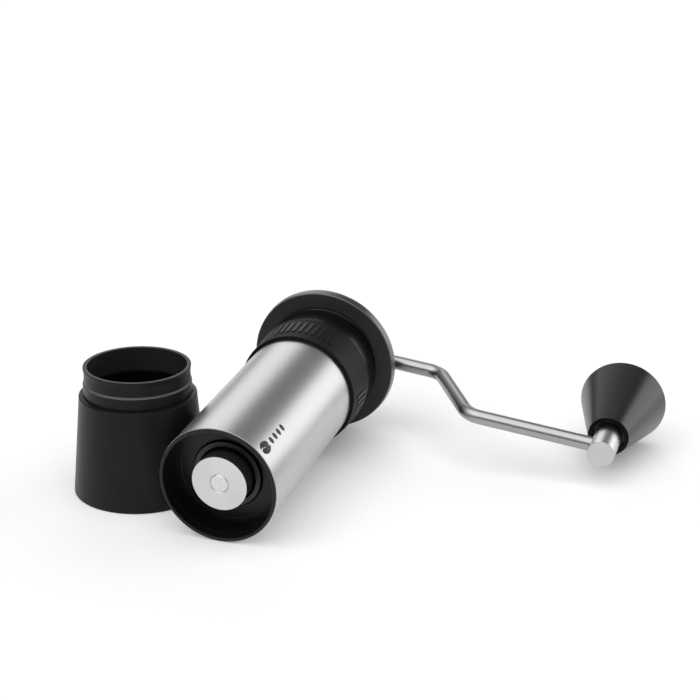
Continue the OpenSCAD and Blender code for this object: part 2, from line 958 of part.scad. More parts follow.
// Cup that catches the ground coffee. Its neck pushes into the mouth
module catch_cup() {
  brim = 0.3;
  floor_r = cup_base_r - cup_wall - 0.6;
  inner_shoulder = shoulder_z - 1.2;
  color(black)
    translate([cup_x - x_mid, cup_back - y_mid, 0])
      rotate_extrude()
        polygon([
          [0, 0], [cup_base_r - base_edge, 0], [cup_base_r - 0.3 * base_edge, 0.3 * base_edge],
          [cup_base_r, base_edge], [shoulder_r, shoulder_z - shoulder_edge],
          [shoulder_r - 0.3 * shoulder_edge, shoulder_z - 0.2 * shoulder_edge],
          [shoulder_r - shoulder_edge, shoulder_z + 0.3 * shoulder_edge],
          [neck_r, neck_z], [neck_r, ledge_z], [waist_r + 0.2, ledge_z + ledge_h],
          [waist_r, ledge_z + 2 * ledge_h], [waist_r, cup_h - 2.5],
          [brim_r, cup_h - 2 * brim], [brim_r - brim, cup_h],
          [brim_in_r + brim, cup_h], [brim_in_r, cup_h - brim],
          [brim_in_r, neck_z + 1.5], [shoulder_r - cup_wall, inner_shoulder],
          [floor_r, cup_wall + 2], [floor_r - 2, cup_wall], [0, cup_wall]
        ]);
}

body_tube();
mouth_ring();
mouth_grip_ring();
burr_carrier();
outer_burr();
clamp_screws();
lower_bridge();
lower_outer_race();
lower_balls();
lower_seals();
lower_circlip();
upper_bridge();
upper_outer_race();
upper_balls();
upper_seals();
upper_circlip();
thumb_ring();
funnel_rim();
lower_inner_race();
upper_inner_race();
axle_spacer();
dial_washer();
axle();
inner_burr();
burr_springs();
setting_dial();
lid();
lid_seal();
crank_hub();
crank_arm();
arm_boss();
hub_screw();
knob_pin();
knob_washer();
knob_clip();
knob_shell();
knob_lower_bush();
knob_upper_bush();
knob_cap();
catch_cup();
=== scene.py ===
import json
import math

import bmesh
import bpy
from mathutils import Matrix, Vector


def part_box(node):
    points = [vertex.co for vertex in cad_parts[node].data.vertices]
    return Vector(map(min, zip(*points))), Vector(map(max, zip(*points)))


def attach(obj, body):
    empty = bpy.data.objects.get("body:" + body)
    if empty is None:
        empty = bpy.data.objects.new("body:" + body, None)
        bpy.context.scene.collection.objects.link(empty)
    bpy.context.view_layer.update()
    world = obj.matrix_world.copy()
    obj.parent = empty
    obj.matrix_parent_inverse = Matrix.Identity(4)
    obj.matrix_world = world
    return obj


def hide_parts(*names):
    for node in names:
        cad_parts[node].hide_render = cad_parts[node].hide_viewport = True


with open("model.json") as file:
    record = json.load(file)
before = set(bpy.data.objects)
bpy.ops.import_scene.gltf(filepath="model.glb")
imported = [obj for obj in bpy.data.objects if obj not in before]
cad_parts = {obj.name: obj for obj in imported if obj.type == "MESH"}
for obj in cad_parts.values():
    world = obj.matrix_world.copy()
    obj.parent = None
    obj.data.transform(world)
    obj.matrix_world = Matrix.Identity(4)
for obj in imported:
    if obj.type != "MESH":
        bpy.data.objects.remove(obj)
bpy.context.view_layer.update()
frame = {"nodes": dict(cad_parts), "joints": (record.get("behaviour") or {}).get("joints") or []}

# Camera. A long lens from the front right, looking down at the mouth of the lying
# grinder. Its place is measured from the middle of the whole arrangement.
camera_place = Vector((0.2454, -0.7642, 0.3654))
camera_heading = Vector((-0.3158, 0.9488, 0.0))
camera_pitch = math.radians(20.12)
camera_roll = math.radians(0.3)
camera_data = bpy.data.cameras.new("camera")
camera_data.lens = 86.5
camera_data.sensor_width = 36.0
camera_data.clip_start, camera_data.clip_end = 0.01, 60.0
camera = bpy.data.objects.new("camera", camera_data)
bpy.context.scene.collection.objects.link(camera)
bpy.context.scene.camera = camera
ahead = camera_heading.normalized() * math.cos(camera_pitch)
ahead += Vector((0, 0, -math.sin(camera_pitch)))
aside = ahead.cross(Vector((0, 0, 1))).normalized()
turned_up = Matrix((aside, aside.cross(ahead), -ahead)).transposed().to_4x4()
camera.matrix_world = (
    Matrix.Translation(camera_place) @ turned_up @ Matrix.Rotation(camera_roll, 4, "Z")
)

# Floor. A white seamless sheet that runs far back and stops just in front of the camera.
scene = bpy.context.scene
scene.view_settings.view_transform = "Standard"
floor_side, floor_front, floor_back, floor_drop = 3.0, -0.9, 4.0, 0.00005
floor_mesh = bpy.data.meshes.new("floor")
floor_mesh.from_pydata(
    [(-floor_side, floor_front, -floor_drop), (floor_side, floor_front, -floor_drop),
     (floor_side, floor_back, -floor_drop), (-floor_side, floor_back, -floor_drop)],
    [], [(0, 1, 2, 3)],
)
floor_sheet = bpy.data.objects.new("floor", floor_mesh)
scene.collection.objects.link(floor_sheet)


def new_material(name):
    """An empty node material: (material, its nodes, a join function, its main shader)."""
    material = bpy.data.materials.new(name)
    material.use_nodes = True
    tree = material.node_tree
    return material, tree.nodes, tree.links.new, tree.nodes["Principled BSDF"]


def node(nodes, kind, **settings):
    """A new shader node, with its settings."""
    made = nodes.new(kind)
    for key, value in settings.items():
        setattr(made, key, value)
    return made


def ramp(nodes, join, value, low, high):
    """Noise, spread between two colours or two greys. Noise seldom leaves 0.3 to 0.7."""
    made = node(nodes, "ShaderNodeValToRGB")
    for stop, position, shade in zip(made.color_ramp.elements, (0.3, 0.7), (low, high)):
        stop.position = position
        stop.color = (*shade, 1) if isinstance(shade, tuple) else (shade, shade, shade, 1)
    join(value, made.inputs["Fac"])
    return made.outputs["Color"]


def noise_at(nodes, join, scale, detail=2.0):
    """Noise that is fixed to the piece, with its scale in waves a metre."""
    place = node(nodes, "ShaderNodeTexCoord")
    noise = node(nodes, "ShaderNodeTexNoise")
    noise.inputs["Scale"].default_value = scale
    noise.inputs["Detail"].default_value = detail
    join(place.outputs["Object"], noise.inputs["Vector"])
    return noise.outputs["Fac"]


paper, nodes, join, shader = new_material("floor_paper")
join(ramp(nodes, join, noise_at(nodes, join, 3.0), 0.81, 0.83), shader.inputs["Base Color"])
shader.inputs["Emission Color"].default_value = (1, 1, 1, 1)
shader.inputs["Emission Strength"].default_value = 0.18
shader.inputs["Roughness"].default_value = 0.75
shader.inputs["Specular IOR Level"].default_value = 0.15
floor_mesh.materials.append(paper)

# Studio light. A soft sky made of broad panels: one low behind to the right and one
# behind to the left, with a dark gap between them that draws the grey stripe along the
# steel, a large lamp overhead, a smaller one in front to the left, and a dim front.
sky = bpy.data.worlds.new("sky")
scene.world = sky
sky.use_nodes = True
sky_nodes, sky_join = sky.node_tree.nodes, sky.node_tree.links.new
sky_nodes.clear()
sky_coord = node(sky_nodes, "ShaderNodeTexCoord")
sky_parts = node(sky_nodes, "ShaderNodeSeparateXYZ")
sky_join(sky_coord.outputs["Generated"], sky_parts.inputs[0])


def sky_math(kind, a, b=0.0):
    """One arithmetic node in the sky, whose inputs are numbers or other nodes' outputs."""
    made = node(sky_nodes, "ShaderNodeMath", operation=kind)
    for socket, value in zip(made.inputs, (a, b)):
        if isinstance(value, (int, float)):
            socket.default_value = value
        else:
            sky_join(value, socket)
    return made.outputs[0]


def sky_step(value, start, end, low=0.0, high=1.0):
    """value, mapped smoothly from start..end to low..high."""
    made = node(sky_nodes, "ShaderNodeMapRange", interpolation_type="SMOOTHSTEP")
    sky_join(value, made.inputs["Value"])
    for key, number in (("From Min", start), ("From Max", end), ("To Min", low), ("To Max", high)):
        made.inputs[key].default_value = number
    return made.outputs["Result"]


# bearing: 0 is level to the right, 90 is overhead, 180 is level to the left
turned_sky = sky_math(
    "ARCTAN2", sky_math("MULTIPLY", sky_parts.outputs["X"], -1.0), sky_parts.outputs["Z"])


def sky_panel(start, end, soft, light):
    """A panel between two bearings in degrees, with soft edges, in the sky behind."""
    # turned_sky is the bearing less 90 degrees, so its seam lies below the floor
    low, high = math.radians(start - 90), math.radians(end - 90)
    half = math.radians(soft) / 2
    inside = sky_math(
        "MULTIPLY", sky_step(turned_sky, low - half, low + half),
        sky_step(turned_sky, high - half, high + half, 1.0, 0.0))
    return sky_math("MULTIPLY", inside, light)


def round_lamp(way, edge, core, light):
    """A round lamp in one direction. edge and core are the cosines of the angles from there
    at which it starts and is full."""
    toward = node(sky_nodes, "ShaderNodeVectorMath", operation="DOT_PRODUCT")
    sky_join(sky_coord.outputs["Generated"], toward.inputs[0])
    toward.inputs[1].default_value = Vector(way).normalized()
    return sky_math("MULTIPLY", sky_step(toward.outputs["Value"], edge, core), light)


behind = sky_step(sky_parts.outputs["Y"], 0.0, 0.45)
gap_light, front_light, under_light = 0.20, 0.16, 0.55
right_panel = sky_panel(start=-6, end=46, soft=12, light=1.65)
left_panel = sky_math(
    "MULTIPLY", sky_panel(start=106, end=160, soft=18, light=1.28),
    sky_step(sky_parts.outputs["Y"], 0.45, 0.75))
under = sky_step(sky_parts.outputs["Z"], -0.12, 0.0, under_light, 0.0)
back_light = sky_math("ADD", sky_math("ADD", right_panel, left_panel), gap_light)
back_light = sky_math("ADD", back_light, under)
overhead = round_lamp((0.0, -0.35, 0.94), edge=0.70, core=0.84, light=1.68)
side_lamp = round_lamp((-0.55, -0.60, 0.58), edge=0.84, core=0.93, light=0.7)
lamps = sky_math("ADD", overhead, side_lamp)
strength = sky_math("ADD", sky_math("MULTIPLY", behind, back_light), lamps)
strength = sky_math(
    "ADD", strength, sky_math("MULTIPLY", sky_math("SUBTRACT", 1.0, behind), front_light))
seen = node(sky_nodes, "ShaderNodeLightPath")
sky_glow = node(sky_nodes, "ShaderNodeBackground")
sky_join(strength, sky_glow.inputs["Strength"])
sky_white = node(sky_nodes, "ShaderNodeBackground")
for background in (sky_glow, sky_white):
    background.inputs["Color"].default_value = (1, 1, 1, 1)
sky_mix = node(sky_nodes, "ShaderNodeMixShader")
sky_join(seen.outputs["Is Camera Ray"], sky_mix.inputs["Fac"])
sky_join(sky_glow.outputs[0], sky_mix.inputs[1])
sky_join(sky_white.outputs[0], sky_mix.inputs[2])
sky_out = node(sky_nodes, "ShaderNodeOutputWorld")
sky_join(sky_mix.outputs[0], sky_out.inputs["Surface"])

# Steel tube. It is cut from drawn stainless tube and brushed on a lathe, so the fine
# lines run around it. Everything else on the grinder is placed along its axis.
MM = 0.001
joints = {joint["name"]: joint for joint in frame["joints"]}
axis = Vector(joints["crank_spin"]["axis"])
tube_middle = 73.5
mouth_centre = Vector(joints["crank_spin"]["pos_m"]) - axis * tube_middle * MM


def standing(origin, up, across):
    """The place of a piece drawn upright: its origin, its axis and its first direction."""
    up = up.normalized()
    across = (across - up * across.dot(up)).normalized()
    turned_to = Matrix((across, up.cross(across), up)).transposed().to_4x4()
    return Matrix.Translation(origin) @ turned_to


on_tube = standing(mouth_centre, axis, Vector((1, 0, 0)))


def rounded(outline, steps=5):
    """An outline of (radius, height, rounding) corners as plain points, corners rounded."""
    points, count = [], len(outline)
    for i, (r, z, soft) in enumerate(outline):
        here = Vector((r, z))
        if not soft:
            points.append(here)
            continue
        back = Vector(outline[i - 1][:2]) - here
        on = Vector(outline[(i + 1) % count][:2]) - here
        half = back.angle(on) / 2
        reach = min(soft / math.tan(half), back.length * 0.49, on.length * 0.49)
        start, end = here + back.normalized() * reach, here + on.normalized() * reach
        for k in range(steps + 1):
            t = k / steps
            points.append(start * (1 - t) ** 2 + here * 2 * t * (1 - t) + end * t * t)
    return points


def spun_point(bm, r, angle, z):
    """A new point at a radius, an angle around the axis and a height, given in mm."""
    return bm.verts.new((r * math.cos(angle) * MM, r * math.sin(angle) * MM, z * MM))


def finish_mesh(name, bm, sharp=32.0):
    """A mesh from a bmesh, smooth but for its sharp edges."""
    bmesh.ops.recalc_face_normals(bm, faces=bm.faces)
    mesh = bpy.data.meshes.new(name)
    bm.to_mesh(mesh)
    bm.free()
    mesh.polygons.foreach_set("use_smooth", [True] * len(mesh.polygons))
    mesh.set_sharp_from_angle(angle=math.radians(sharp))
    return mesh


def place_piece(name, mesh, where, body, material, hides=()):
    """A new piece in its place, riding on its body and standing for CAD nodes.

    own_place keeps each point's place from before the piece was laid down, and around is
    the direction around the piece's axis, for the lines that turning leaves.
    """
    own_place = mesh.attributes.new("own_place", "FLOAT_VECTOR", "POINT")
    around = mesh.attributes.new("around", "FLOAT_VECTOR", "POINT")
    for i, vert in enumerate(mesh.vertices):
        own_place.data[i].vector = vert.co
        along = Vector((-vert.co.y, vert.co.x, 0.0))
        around.data[i].vector = where.to_3x3() @ (along.normalized() or Vector((1, 0, 0)))
    mesh.transform(where)
    piece = bpy.data.objects.new(name, mesh)
    scene.collection.objects.link(piece)
    mesh.materials.append(material)
    even_normals = piece.modifiers.new("even_normals", "WEIGHTED_NORMAL")
    even_normals.keep_sharp = True
    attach(piece, body)
    if hides:
        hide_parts(*hides)
    return piece


def add_turned(bm, outline, steps=180, shape=None, corner_steps=5):
    """Adds an outline spun around the axis. shape(angle, r, z) may move each point."""
    rings = []
    for r, z in rounded(outline, corner_steps):
        if r < 1e-6:
            rings.append([bm.verts.new((0, 0, z * MM))])
            continue
        ring = []
        for i in range(steps):
            angle = 2 * math.pi * i / steps
            far, high = shape(angle, r, z) if shape else (r, z)
            ring.append(spun_point(bm, far, angle, high))
        rings.append(ring)
    open_ended = len(rings[0]) == 1 and len(rings[-1]) == 1
    for low, high in zip(rings, rings[1:] + ([] if open_ended else rings[:1])):
        for i in range(steps):
            j = (i + 1) % steps
            # a ring on the axis is one point, so its faces are triangles
            distinct = list(dict.fromkeys((
                low[i % len(low)], low[j % len(low)], high[j % len(high)], high[i % len(high)])))
            if len(distinct) > 2:
                bm.faces.new(distinct)


def turned(name, outline, where, body, material, hides=(), steps=180, shape=None,
           sharp=32.0, corner_steps=5):
    """A turned piece that stands for a CAD node."""
    bm = bmesh.new()
    add_turned(bm, outline, steps, shape, corner_steps)
    mesh = finish_mesh(name, bm, sharp)
    return place_piece(name, mesh, where, body, material, hides)


def own_measures(nodes, join):
    """Where a point lies in its own piece: turn around the axis, height, and distance out."""
    place = node(nodes, "ShaderNodeAttribute", attribute_name="own_place")
    parts = node(nodes, "ShaderNodeSeparateXYZ")
    join(place.outputs["Vector"], parts.inputs[0])
    turn = node(nodes, "ShaderNodeMath", operation="ARCTAN2")
    flat = node(nodes, "ShaderNodeCombineXYZ")
    for turn_input, way in enumerate(("Y", "X")):
        join(parts.outputs[way], turn.inputs[turn_input])
        join(parts.outputs[way], flat.inputs[way])
    out = node(nodes, "ShaderNodeVectorMath", operation="LENGTH")
    join(flat.outputs[0], out.inputs[0])
    return {"turn": turn.outputs[0], "height": parts.outputs["Z"], "out": out.outputs["Value"]}


def around_axis(nodes, join, lines, drift):
    """A coordinate that changes fast along and away from the axis, and slowly around it."""
    own = own_measures(nodes, join)
    slow = node(nodes, "ShaderNodeMath", operation="MULTIPLY")
    slow.inputs[1].default_value = drift
    join(own["turn"], slow.inputs[0])
    along = node(nodes, "ShaderNodeMath", operation="ADD")
    join(own["height"], along.inputs[0])
    join(own["out"], along.inputs[1])
    fast = node(nodes, "ShaderNodeMath", operation="MULTIPLY")
    fast.inputs[1].default_value = lines
    join(along.outputs[0], fast.inputs[0])
    both = node(nodes, "ShaderNodeCombineXYZ")
    join(slow.outputs[0], both.inputs["X"])
    join(fast.outputs[0], both.inputs["Y"])
    return both.outputs[0]


def bump_from(nodes, join, height, strength, distance):
    """A bump node fed by a height."""
    bump = node(nodes, "ShaderNodeBump")
    bump.inputs["Strength"].default_value = strength
    bump.inputs["Distance"].default_value = distance
    join(height, bump.inputs["Height"])
    return bump.outputs["Normal"]


def brushed_metal(name, dull, bright, smooth, rough, lines, drift):
    """Steel with fine lines around the piece's own axis: lines a metre, and their drift."""
    material, nodes, join, shader = new_material(name)
    lines_at = around_axis(nodes, join, lines, drift)
    fine = node(nodes, "ShaderNodeTexNoise")
    fine.inputs["Scale"].default_value = 1.0
    fine.inputs["Detail"].default_value = 3.0
    fine.inputs["Roughness"].default_value = 0.65
    join(lines_at, fine.inputs["Vector"])
    join(ramp(nodes, join, fine.outputs["Fac"], dull, bright), shader.inputs["Base Color"])
    join(ramp(nodes, join, fine.outputs["Fac"], smooth, rough), shader.inputs["Roughness"])
    join(bump_from(nodes, join, fine.outputs["Fac"], 0.25, 0.00002), shader.inputs["Normal"])
    shader.inputs["Metallic"].default_value = 1.0
    shader.inputs["Anisotropic"].default_value = 0.6
    brush = node(nodes, "ShaderNodeAttribute", attribute_name="around")
    join(brush.outputs["Vector"], shader.inputs["Tangent"])
    return material


tube_steel = brushed_metal(
    "tube_steel", (0.49, 0.49, 0.485), (0.56, 0.56, 0.555), 0.27, 0.35, 7000.0, 1.2)
tube_r, tube_bore_r, tube_low, tube_top = 30.0, 28.8, 1.2, 147.0
turned(
    "steel_tube",
    [(tube_bore_r, tube_low, 0.1), (tube_r, tube_low, 0.3),
     (tube_r, tube_top, 0.3), (tube_bore_r, tube_top, 0.1)],
    on_tube, "grinder", tube_steel, ["body_tube"], steps=240,
)

# Mark on the tube. One coffee bean and four small grains, printed on the steel in
# dark ink, with the bean's seam left bare.
ink, nodes, join, shader = new_material("tube_ink")
join(ramp(nodes, join, noise_at(nodes, join, 9000.0), 0.012, 0.03), shader.inputs["Base Color"])
shader.inputs["Roughness"].default_value = 0.5


def ink_shape(bm, outline, centre_turn, centre_z, ink_r):
    """A flat outline in mm wrapped onto the tube: x runs around it and y along it."""
    face = bm.faces.new([
        spun_point(bm, ink_r, centre_turn + x / ink_r, centre_z + y) for x, y in outline])
    bmesh.ops.triangulate(bm, faces=[face])


def half_bean(side, wide, tall, seam):
    """One half of a bean, beside an S shaped seam."""
    steps = 28
    rim = [(side * wide * math.cos(a), tall * math.sin(a))
           for a in (math.pi * (k / steps - 0.5) for k in range(steps + 1))]
    bend = [(wide * 0.28 * math.sin(math.pi * y / tall) + side * seam, y)
            for y in (tall * (0.93 - 1.86 * k / steps) for k in range(steps + 1))]
    outline = [p for p in rim if abs(p[1]) < tall * 0.93] + bend
    return outline if side > 0 else outline[::-1]


mark_turn, ink_r = math.radians(-42.0), tube_r + 0.02
bean_half_w, bean_half_h, bean_seam, bean_z = 3.2, 4.5, 0.42, 8.4
grain_half_w, grain_half_h, first_grain_z, grain_step, grain_count = 1.9, 1.35, 16.2, 4.7, 4
bm = bmesh.new()
for side in (-1, 1):
    ink_shape(bm, half_bean(side, bean_half_w, bean_half_h, bean_seam), mark_turn, bean_z, ink_r)
grain_outline = [(grain_half_w * math.cos(a), grain_half_h * math.sin(a))
                 for a in (2 * math.pi * i / 20 for i in range(20))]
for k in range(grain_count):
    ink_shape(bm, grain_outline, mark_turn, first_grain_z + grain_step * k, ink_r)
for face in bm.faces:
    face.smooth = True
mark_mesh = bpy.data.meshes.new("tube_mark")
bm.to_mesh(mark_mesh)
bm.free()
mark_mesh.transform(on_tube)
mark_mesh.materials.append(ink)
mark = bpy.data.objects.new("tube_mark", mark_mesh)
scene.collection.objects.link(mark)
thick = mark.modifiers.new("film", "SOLIDIFY")
thick.thickness = 0.00002
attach(mark, "grinder")

# Mouth. A black moulded sleeve is pressed into the tube's end, and its lip covers the
# cut steel. A rubber ring sits in a groove inside it, to grip the cup's neck.


def black_moulding(name, dark, light, smooth, rough, grain=2600.0, depth=0.00003, gloss=0.4):
    """Moulded black plastic with a fine spark eroded grain."""
    material, nodes, join, shader = new_material(name)
    fine, broad = noise_at(nodes, join, grain, 4.0), noise_at(nodes, join, 45.0)
    join(ramp(nodes, join, broad, dark, light), shader.inputs["Base Color"])
    join(ramp(nodes, join, fine, smooth, rough), shader.inputs["Roughness"])
    join(bump_from(nodes, join, fine, 0.3, depth), shader.inputs["Normal"])
    shader.inputs["Specular IOR Level"].default_value = gloss
    return material


mouth_black = black_moulding("mouth_black", 0.002, 0.004, 0.30, 0.42, gloss=0.32)
mouth_bore_r, sleeve_r, lip_r, mouth_depth = 27.73, 28.78, 29.8, 14.18
groove_z, groove_half, groove_r = 4.6, 0.55, 28.37
lip_top, lead_r, lead_depth = 1.18, 28.08, 2.4
turned(
    "mouth_sleeve",
    [(lead_r, 0.0, 0.5), (lip_r, 0.0, 0.7), (lip_r, lip_top, 0.1), (sleeve_r, lip_top, 0),
     (sleeve_r, mouth_depth, 0), (mouth_bore_r, mouth_depth, 0),
     (mouth_bore_r, groove_z + groove_half, 0.08), (groove_r, groove_z + groove_half, 0),
     (groove_r, groove_z - groove_half, 0), (mouth_bore_r, groove_z - groove_half, 0.05),
     (mouth_bore_r, lead_depth + 1.0, 0.6), (lead_r - 0.1, 1.2, 0.6)],
    on_tube, "grinder", mouth_black, ["mouth_ring"], steps=240,
)


def change_where(material, socket_name, measure, start, end, goal):
    """Moves a colour or roughness to goal, as a point's height or distance out (measure)
    goes from start to end, in mm."""
    nodes, join = material.node_tree.nodes, material.node_tree.links.new
    socket = nodes["Principled BSDF"].inputs[socket_name]
    mask = node(nodes, "ShaderNodeMapRange", interpolation_type="SMOOTHSTEP")
    join(own_measures(nodes, join)[measure], mask.inputs["Value"])
    mask.inputs["From Min"].default_value = start * MM
    mask.inputs["From Max"].default_value = end * MM
    mix = node(nodes, "ShaderNodeMix", data_type="RGBA")
    join(mask.outputs["Result"], mix.inputs["Factor"])
    join(socket.links[0].from_socket, mix.inputs["A"])
    mix.inputs["B"].default_value = (goal, goal, goal, 1)
    join(mix.outputs["Result"], socket)


def soft_rubber(name, dark, light, rough=0.6, gloss=0.3):
    """Matte rubber with a faint gloss."""
    material, nodes, join, shader = new_material(name)
    fine = noise_at(nodes, join, 3500.0, 3.0)
    join(ramp(nodes, join, fine, dark, light), shader.inputs["Base Color"])
    join(ramp(nodes, join, fine, rough - 0.06, rough + 0.06), shader.inputs["Roughness"])
    join(bump_from(nodes, join, fine, 0.4, 0.00004), shader.inputs["Normal"])
    shader.inputs["Specular IOR Level"].default_value = gloss
    return material


def finish_node(name, material):
    """Gives a CAD node its material."""
    slots = frame["nodes"][name].data.materials
    slots.clear()
    slots.append(material)


finish_node("mouth_grip_ring", soft_rubber("grip_rubber", 0.002, 0.004, 0.8, gloss=0.1))

# Burr carrier. The black floor of the mouth, moulded with one shallow step, holds
# the ring burr with three screws from inside.
floor_z, edge_z, step_in_r, step_out_r = 14.2, 14.1, 24.4, 24.6
carrier_bore_r, carrier_seat_r, carrier_seat_z, carrier_top = 17.8, 20.97, 16.5, 24.5
turned(
    "burr_carrier_piece",
    [(carrier_bore_r, floor_z, 0.35), (step_in_r, floor_z, 0.1), (step_out_r, edge_z, 0.1),
     (sleeve_r, edge_z, 0.1), (sleeve_r, carrier_top, 0.3), (carrier_seat_r, carrier_top, 0.2),
     (carrier_seat_r, carrier_seat_z, 0), (carrier_bore_r, carrier_seat_z, 0.1)],
    on_tube, "grinder", mouth_black, ["burr_carrier"], steps=180,
)

# Burrs. Both are hardened steel, left dark where they cut. The cone burr's end face is
# ground bright, with the axle's end flush in it, and has a narrower black skirt behind it.


def plain_steel(name, dull, bright, smooth, rough, patches, detail, relief, depth):
    """Steel without a brushing direction, in small cloudy patches."""
    material, nodes, join, shader = new_material(name)
    cloud = noise_at(nodes, join, patches, detail)
    join(ramp(nodes, join, cloud, dull, bright), shader.inputs["Base Color"])
    join(ramp(nodes, join, cloud, smooth, rough), shader.inputs["Roughness"])
    join(bump_from(nodes, join, cloud, relief, depth), shader.inputs["Normal"])
    shader.inputs["Metallic"].default_value = 1.0
    return material


def dark_steel(name, dull, bright, smooth, rough):
    """Dark hardened or phosphated steel."""
    return plain_steel(name, dull, bright, smooth, rough, 900.0, 5.0, 0.2, 0.00002)


def satin_steel(name, dull, bright, smooth, rough):
    """Machined steel."""
    return plain_steel(name, dull, bright, smooth, rough, 1400.0, 4.0, 0.12, 0.00001)


burr_dark = dark_steel("burr_dark", 0.05, 0.075, 0.4, 0.5)
face_steel = brushed_metal(
    "burr_face_steel", (0.65, 0.65, 0.64), (0.74, 0.74, 0.73), 0.38, 0.46, 3000.0, 6.0)
burr_r, face_low, face_high, skirt_r, skirt_high = 14.1, 2.85, 4.2, 13.85, 10.8
cone_bore_r, cone_foot_r, throat_r, throat_z = 4.62, 13.8, 13.1, 18.0
cone_top_r, cone_top, cone_end = 6.6, 43.95, 44.95
cone_teeth_z, cone_axle_r, fine_teeth, flute_fade = 12.5, 5.0, 36, 8.0


def tooth_depth(angle, z, foot_z, twist, flutes, fine_deep, flute_deep):
    """How deep a burr is cut at a point: fine teeth up to the throat, and flutes beyond it."""
    tooth_turn = angle + (z - foot_z) * twist
    fine = abs((fine_teeth * tooth_turn / math.pi) % 2 - 1)
    coarse = abs((flutes * tooth_turn / math.pi) % 2 - 1)
    beyond = min(1.0, max(0.0, (z - throat_z) / flute_fade))
    return fine_deep * (1 - beyond) * fine + flute_deep * beyond * (1 - coarse) ** 2


def cone_teeth(angle, r, z):
    """Six breaking flutes on the cone, and fine cutting teeth below them."""
    if z < cone_teeth_z or r < cone_axle_r:
        return r, z
    fade = min(1.0, (z - cone_teeth_z) / 3.0)
    return r - fade * tooth_depth(angle, z, cone_teeth_z, 0.045, 6, 0.45, 1.5), z


cone_steps = 13
cone_side = [
    (throat_r + (cone_top_r - throat_r) * k / cone_steps,
     throat_z + (cone_top - throat_z) * k / cone_steps, 0)
    for k in range(cone_steps + 1)
]
turned(
    "cone_burr",
    [(cone_bore_r, skirt_high, 0), (cone_foot_r, skirt_high, 0), (cone_foot_r, 11.2, 0.1),
     (burr_r, 12.0, 0.1), (13.75, 14.0, 0), (13.4, 16.0, 0)]
    + cone_side + [(cone_top_r, cone_end, 0.2), (cone_bore_r, cone_end, 0)],
    on_tube, "burr_axle", burr_dark, ["inner_burr"], steps=360, shape=cone_teeth, sharp=50,
)
slit, face_bore_r, face_bevel_w, face_bevel_h = 0.02, 4.66, 0.26, 0.28
turned(
    "cone_burr_face",
    [(face_bore_r + face_bevel_w, face_low, 0.05), (burr_r, face_low, 0.2),
     (burr_r, face_high - slit, 0.1), (face_bore_r, face_high - slit, 0),
     (face_bore_r, face_low + face_bevel_h, 0)],
    on_tube, "burr_axle", face_steel, (),
)
skirt_black = black_moulding("burr_skirt_black", 0.030, 0.042, 0.40, 0.5, 1800.0, gloss=0.7)
turned(
    "cone_burr_skirt",
    [(face_bore_r, face_high, 0), (skirt_r, face_high, 0.1), (skirt_r, skirt_high - slit, 0.15),
     (face_bore_r, skirt_high - slit, 0)],
    on_tube, "burr_axle", skirt_black, (),
)
ring_low, ring_foot_r, outlet_r, ring_teeth_z, ring_throat_r = 12.7, 17.2, 14.4, 13.4, 13.4
ring_flange_r, ring_flange_low, ring_flange_high = 20.95, 16.52, 24.5
ring_r, ring_bean_r, ring_high = 19.5, 17.4, 38.0


def ring_teeth(angle, r, z):
    """Cutting teeth on the inside of the ring burr, coarser towards the beans."""
    top_edge = r > ring_bean_r - 0.5 and z > ring_high - 1.0
    if r > ring_bean_r or z < ring_teeth_z or top_edge:
        return r, z
    return r + tooth_depth(angle, z, ring_teeth_z, -0.05, 9, 0.4, 1.1), z


ring_steps = 8
ring_side = [
    (ring_bean_r - (ring_bean_r - ring_throat_r) * k / ring_steps,
     ring_high - (ring_high - throat_z) * k / ring_steps, 0)
    for k in range(ring_steps + 1)
]
turned(
    "ring_burr",
    [(ring_foot_r, ring_low, 0.2), (ring_foot_r, ring_flange_low, 0),
     (ring_flange_r, ring_flange_low, 0), (ring_flange_r, ring_flange_high, 0.2),
     (ring_r, ring_flange_high, 0), (ring_r, ring_high, 0.3)]
    + ring_side + [(13.9, 15.5, 0), (outlet_r, 13.3, 0), (14.9, ring_low, 0.1)],
    on_tube, "grinder", burr_dark, ["outer_burr"], steps=288, shape=ring_teeth, sharp=50,
)

# Axle, bearings and what holds them. Turned, ground or stamped steel, with rubber dust
# seals, all inside the tube between the two moulded bridges.
axle_steel = satin_steel("axle_steel", (0.66, 0.66, 0.655), (0.78, 0.78, 0.775), 0.36, 0.44)
bearing_steel = satin_steel("bearing_steel", (0.62, 0.63, 0.64), (0.74, 0.75, 0.76), 0.08, 0.16)
spring_steel = dark_steel("spring_steel", 0.10, 0.18, 0.25, 0.4)
washer_brass = satin_steel("washer_brass", (0.62, 0.43, 0.17), (0.74, 0.55, 0.26), 0.22, 0.36)
bridge_black = black_moulding("bridge_black", 0.005, 0.008, 0.4, 0.55)
seal_rubber = soft_rubber("seal_rubber", 0.015, 0.025)
finish_node("axle", axle_steel)
for end in ("lower", "upper"):
    finish_node(end + "_bridge", bridge_black)
    finish_node(end + "_outer_race", bearing_steel)
    finish_node(end + "_inner_race", bearing_steel)
    finish_node(end + "_balls", bearing_steel)
    finish_node(end + "_seals", seal_rubber)
    finish_node(end + "_circlip", spring_steel)
finish_node("axle_spacer", axle_steel)
finish_node("dial_washer", washer_brass)
finish_node("burr_springs", spring_steel)
finish_node("clamp_screws", axle_steel)

